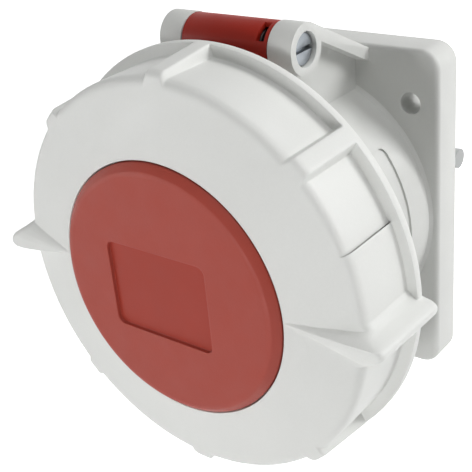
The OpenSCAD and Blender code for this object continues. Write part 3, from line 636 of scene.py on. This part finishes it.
def makeLockingRing(look):
    eighth = math.radians(45)
    ribs = repeated(ringSector(look), "bayonet_ring", {
        "Count": 3, "First Angle": eighth, "Step Angle": eighth, "Weld": 0.002 * mm, "Axis Height": 0.0,
    })
    lug = sectorBlock(look["lugR"], look["skirtR"] + 0.2, look["lugRear"], look["lugFront"],
                      look["lugSweep"], 8)
    gripHalves = repeated(joined(ribs, lug), "bayonet_ring", {
        "Count": 2, "Step Angle": math.pi, "Weld": 0.002 * mm,
    })
    mesh = joined(gripHalves, ringSector(look, "right"), ringSector(look, "left"))
    outwards(mesh)
    smoothUnder(mesh, 35)
    addMesh("lockingRing", mesh, "ring", "bayonet_ring")
    print("stage: locking ring,", len(mesh.polygons), "faces")


makeLockingRing(ringLook)


# ---- mouldings with broken edges ----
def bevelled(nodeName, look):
    work = bpy.data.objects.new("work", copyOfNode(nodeName))
    scene.collection.objects.link(work)
    edge = work.modifiers.new("edge", "BEVEL")
    edge.width = look["edge"]
    edge.segments = 3
    edge.limit_method = "ANGLE"
    edge.angle_limit = math.radians(28)
    edge.miter_outer = "MITER_ARC"
    mesh = evaluatedMesh(work)
    bpy.data.objects.remove(work)
    smoothUnder(mesh, look["smooth"])
    return mesh


mouldings = {
    "socketHousing": {"node": "housing", "body": "socket", "edge": 0.3 * mm, "smooth": 40},
    "hingedLid": {"node": "lid", "body": "lid", "edge": 0.3 * mm, "smooth": 40},
}
for pieceName, look in mouldings.items():
    mesh = bevelled(look["node"], look)
    addMesh(pieceName, mesh, look["body"], look["node"])
    print("stage:", pieceName, len(mesh.polygons), "faces")


# ---- front disc ----
discLook = {
    "bevel": 1.7, "bevelRise": 1.55, "shoulder": 1.0, "edgeRound": 0.35, "back": 0.25,
    "labelLeft": -16.15, "labelRight": 13.05, "labelLow": -11.95, "labelHigh": 10.3, "labelCorner": 1.9,
    "labelDepth": 0.95, "labelRound": 0.2, "labelReach": 17,
}


def makeFrontDisc(look):
    radius = discHigh.x / mm
    top = (flangeFrontY - discLow.y) / mm
    back = (flangeFrontY - discHigh.y) / mm
    midX = (look["labelLeft"] + look["labelRight"]) / 2
    midZ = (look["labelLow"] + look["labelHigh"]) / 2

    def labelLoop(grown):
        halfW = (look["labelRight"] - look["labelLeft"]) / 2 + grown
        halfH = (look["labelHigh"] - look["labelLow"]) / 2 + grown
        corner = look["labelCorner"] + grown
        points = []
        for quarter in range(4):
            signX, signZ = ((1, 1), (-1, 1), (-1, -1), (1, -1))[quarter]
            cx, cz = signX * (halfW - corner), signZ * (halfH - corner)
            for k in range(9):
                t = math.radians(90 * quarter + 90 * k / 8)
                points.append((midX + cx + corner * math.cos(t), midZ + cz + corner * math.sin(t)))
        loop = []
        for k, (x0, z0) in enumerate(points):
            x1, z1 = points[(k + 1) % len(points)]
            steps = 36 if k % 9 == 8 else 1
            loop += [(x0 + (x1 - x0) * j / steps, z0 + (z1 - z0) * j / steps) for j in range(steps)]
        return loop

    angles = [math.atan2(z, x) for x, z in labelLoop(0)]
    rise = radius - look["bevel"]
    r = look["edgeRound"]
    edge = top - look["bevelRise"] - 0.25
    profile = [(radius - look["back"], back), (radius, back + look["back"]), (radius, edge - r),
               (radius - 0.1 * r, edge - 0.4 * r), (radius - 0.5 * r, edge + 0.3 * r),
               (rise + 0.4 * r, top - 0.25 - 0.3 * r), (rise, top - 0.25), (rise - 0.5, top - 0.1),
               (rise - look["shoulder"], top), (rise - look["shoulder"] - 0.4, top)]
    rings = [[(q * math.cos(t), q * math.sin(t), out) for t in angles] for q, out in profile]
    w, depth = look["labelRound"], look["labelDepth"]
    for grown, down in ((w + 0.3, 0), (w, 0), (0.3 * w, 0.3 * w), (0, w), (0, depth - w),
                        (-0.3 * w, depth - 0.3 * w), (-w, depth), (-w - 0.3, depth)):
        rings.append([(x, z, top - down) for x, z in labelLoop(grown)])
    verts = [(x * mm, flangeFrontY - out * mm, axisHeight + z * mm)
             for ring in rings for x, z, out in ring]
    count = len(angles)
    faces = []
    for i in range(len(rings) - 1):
        for j in range(count):
            k = (j + 1) % count
            faces.append((i * count + j, i * count + k, (i + 1) * count + k, (i + 1) * count + j))
    faces.append(tuple(range(count)))
    faces.append(tuple((len(rings) - 1) * count + j for j in range(count)))
    mesh = bpy.data.meshes.new("frontDisc")
    mesh.from_pydata(verts, [], faces)
    outwards(mesh)
    smoothUnder(mesh, 42)
    disc = addMesh("frontDisc", mesh, "lid", "front_disc")
    disc.data.materials.append(finishes["labelRed"])
    for polygon in mesh.polygons:
        out = (flangeFrontY - polygon.center.y) / mm
        isFloor = abs(polygon.normal.y) > 0.9 and back + 0.001 < out < top - 0.6 * depth
        if isFloor and abs(polygon.center.x) < look["labelReach"] * mm:
            polygon.material_index = 1
    print("stage: front disc,", len(mesh.polygons), "faces")


makeFrontDisc(discLook)


# ---- screws and pin ----
def turned(profile, sides, origin, along, across):
    # closed solid turned round an axis, from profile points as radius and distance along
    other = along.cross(across)
    verts, faces, rings = [], [], []
    for r, far in profile:
        start = len(verts)
        around = [0] if r == 0 else range(sides)
        for k in around:
            t = 2 * math.pi * k / sides
            verts.append(origin + (along * far + (across * math.cos(t) + other * math.sin(t)) * r) * mm)
        rings.append([start] * sides if r == 0 else list(range(start, start + sides)))
    for low, high in zip(rings, rings[1:]):
        for k in range(sides):
            n = (k + 1) % sides
            faces.append(tuple(dict.fromkeys((low[k], high[k], high[n], low[n]))))
    mesh = bpy.data.meshes.new("turned")
    mesh.from_pydata(verts, [], faces)
    outwards(mesh)
    return mesh


def slotted(mesh, middle, size):
    # cuts a screwdriver slot out of a head
    tool = bmesh.new()
    bmesh.ops.create_cube(tool, size=1.0, matrix=Matrix.Translation(middle) @ Matrix.Diagonal((*size, 1)))
    toolMesh = bpy.data.meshes.new("slot")
    tool.to_mesh(toolMesh)
    tool.free()
    work = bpy.data.objects.new("work", mesh)
    cutter = bpy.data.objects.new("cutter", toolMesh)
    for obj in (work, cutter):
        scene.collection.objects.link(obj)
    cut = work.modifiers.new("cut", "BOOLEAN")
    cut.object = cutter
    edge = work.modifiers.new("edge", "BEVEL")
    edge.width = 0.08 * mm
    edge.segments = 2
    edge.angle_limit = math.radians(35)
    result = evaluatedMesh(work)
    for obj in (work, cutter):
        bpy.data.objects.remove(obj)
    return result


screwLooks = {
    "discScrews": {"node": "disc_screws", "body": "lid", "count": 4, "first": 45,
                   "headR": 3.0, "head": 1.8, "shankR": 1.5, "slot": 0.8, "slotDepth": 0.9},
    "carrierScrews": {"node": "carrier_screws", "body": "socket", "count": 2, "first": 0,
                      "headR": 2.4, "head": 2.0, "shankR": 1.5, "slot": 0.8, "slotDepth": 0.9},
}


def makeScrews(name, look):
    low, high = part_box(look["node"])
    circle = (high.x / mm - look["headR"]) / math.cos(math.radians(look["first"]))
    length = (high.y - low.y) / mm
    tip = look["shankR"] * 0.6
    profile = [(0, 0), (look["headR"] * 0.72, 0), (look["headR"] * 0.93, 0.22), (look["headR"], 0.6),
               (look["headR"], look["head"]), (look["shankR"], look["head"])]
    pitch = 0.5
    far = look["head"] + 0.6
    while far + pitch < length - 0.7:
        profile += [(look["shankR"], far), (look["shankR"] - 0.2, far + pitch / 2)]
        far += pitch
    profile += [(look["shankR"], length - 0.6), (tip, length), (0, length)]
    start = Vector((circle * mm, high.y, 0))
    mesh = turned(profile, 32, start, Vector((0, -1, 0)), Vector((1, 0, 0)))
    mesh = slotted(mesh, start, (3 * look["headR"] * mm, 2 * look["slotDepth"] * mm, look["slot"] * mm))
    step = 2 * math.pi / look["count"]
    mesh = repeated(mesh, look["node"], {
        "Count": look["count"], "First Angle": math.radians(look["first"]), "Step Angle": step,
    })
    smoothUnder(mesh, 40)
    addMesh(name, mesh, look["body"], look["node"])
    print("stage:", name, len(mesh.polygons), "faces")


for name, look in screwLooks.items():
    makeScrews(name, look)

pinLook = {"shankR": 2.5, "headR": 3.95, "head": 3.6, "rim": 0.35, "rimDepth": 0.7, "edge": 0.35,
           "slot": 1.1, "slotDepth": 1.3, "end": 0.5}


def makeHingePin(look):
    low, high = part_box("hinge_pin")
    length = (high.x - low.x) / mm
    middle = (low + high) / 2
    start = Vector((high.x, middle.y, middle.z))
    edge, end, rim = look["edge"], look["end"], look["rim"]
    profile = [(0, 0), (look["headR"] - rim - 0.3, 0), (look["headR"] - rim, 0.12),
               (look["headR"], look["rimDepth"]),
               (look["headR"], look["head"] - edge), (look["headR"] - edge, look["head"]),
               (look["shankR"], look["head"]), (look["shankR"], length - end),
               (look["shankR"] - end, length), (0, length)]
    mesh = turned(profile, 48, start, Vector((-1, 0, 0)), Vector((0, 0, 1)))
    mesh = slotted(mesh, start, (2 * look["slotDepth"] * mm, 3 * look["headR"] * mm, look["slot"] * mm))
    smoothUnder(mesh, 40)
    addMesh("hingePin", mesh, "socket", "hinge_pin")
    print("stage: hinge pin,", len(mesh.polygons), "faces")


makeHingePin(pinLook)


# ---- hinge spring ----
springLook = {"leg": 3.2, "smooth": 60, "finish": "bluedSteel"}


def makeHingeSpring(look):
    # a smooth-shaded copy of the node's spring in blued steel, attached to no body
    mesh = copyOfNode("hinge_spring")
    smoothUnder(mesh, look["smooth"])
    spring = addMesh("hingeSpring", mesh, None, "hinge_spring")
    spring.data.materials[0] = finishes[look["finish"]]
    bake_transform(spring)
    print("stage: hinge spring,", len(mesh.polygons), "faces")


makeHingeSpring(springLook)


# ---- terminal carrier ----
carrierLook = {
    "node": "terminal_carrier", "edge": 0.3 * mm, "smooth": 40,
    "taperFrom": 5.0, "taper": 0.5, "bodyFrom": 19,  # mm before the rear end, slope, least radius
    "lugReach": 24.4, "lugFrom": 23.5, "lugBehind": 20,  # new reach of what stands out this far
}


def makeTerminalCarrier(look):
    # the moulding draws in towards its rear end
    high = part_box(look["node"])[1]
    taperY = high.y - look["taperFrom"] * mm
    mesh = bevelled(look["node"], look)
    work = bmesh.new()
    work.from_mesh(mesh)
    bmesh.ops.bisect_plane(work, geom=work.verts[:] + work.edges[:] + work.faces[:], dist=0.001 * mm,
                           plane_co=(0, taperY, 0), plane_no=(0, 1, 0))
    for vert in work.verts:
        across = math.hypot(vert.co.x, vert.co.z - axisHeight)
        if across > look["lugFrom"] * mm and vert.co.y > look["lugBehind"] * mm:
            vert.co.x *= look["lugReach"] * mm / abs(vert.co.x)
        elif across > look["bodyFrom"] * mm and vert.co.y > taperY:
            shrink = 1 - look["taper"] * (vert.co.y - taperY) / across
            vert.co.x *= shrink
            vert.co.z = axisHeight + (vert.co.z - axisHeight) * shrink
    work.to_mesh(mesh)
    work.free()
    smoothUnder(mesh, look["smooth"])
    addMesh("terminalCarrier", mesh, "socket", look["node"])
    print("stage: terminal carrier,", len(mesh.polygons), "faces")


makeTerminalCarrier(carrierLook)
